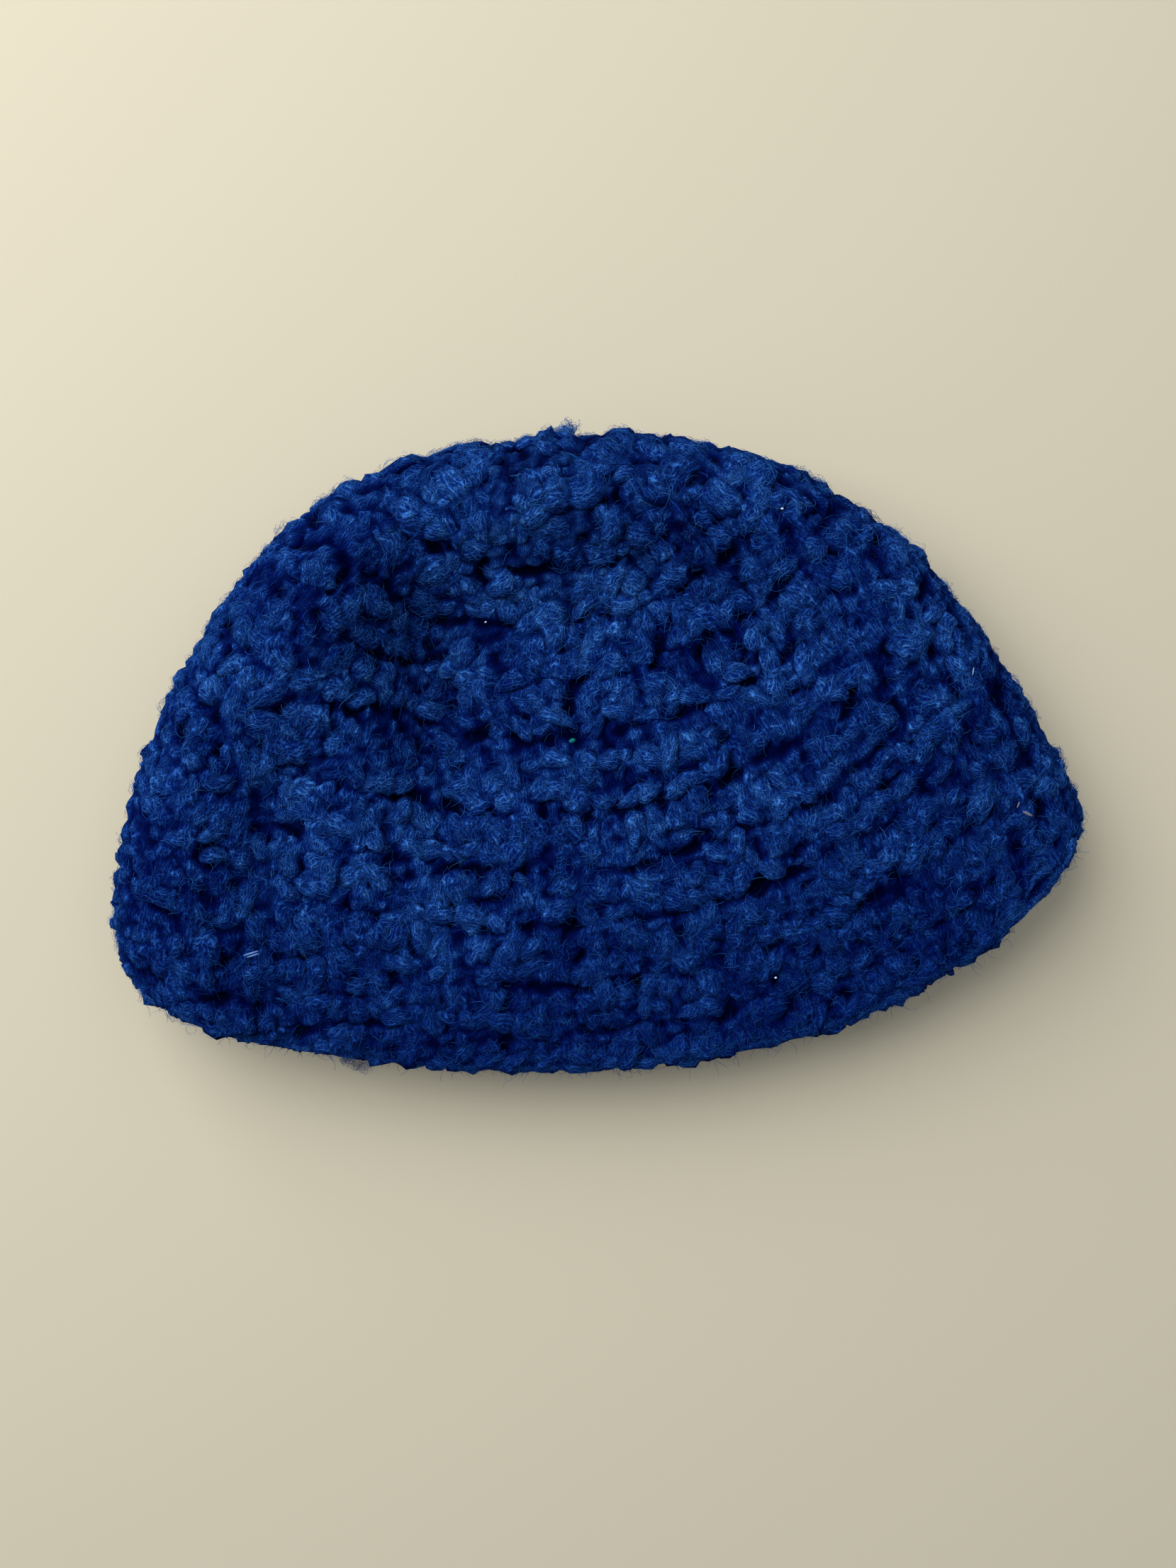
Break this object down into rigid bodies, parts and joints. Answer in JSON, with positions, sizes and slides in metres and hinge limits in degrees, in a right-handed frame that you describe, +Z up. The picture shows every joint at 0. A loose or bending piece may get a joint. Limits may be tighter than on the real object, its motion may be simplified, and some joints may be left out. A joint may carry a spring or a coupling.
{
  "type": "crocheted beanie",
  "caption": "Close-fitting crocheted winter beanie of thick fluffy yarn, lying flat on its side, hollow inside with an open mouth for a head",
  "frame": {"origin": "middle of the footprint, on the surface the hat lies on", "axes": "+X along the line between the two corners of the mouth, +Y from the mouth to the crown fold, +Z up"},
  "size_m": [0.2406, 0.1622, 0.04],
  "materials": {
    "crochet_yarn": "matte fluffy wool",
    "tail_yarn": "matte loose wool"
  },
  "bodies": {
    "root": {"crochet_shell": "crochet_yarn", "crown_tail": "tail_yarn"}
  },
  "joints": []
}
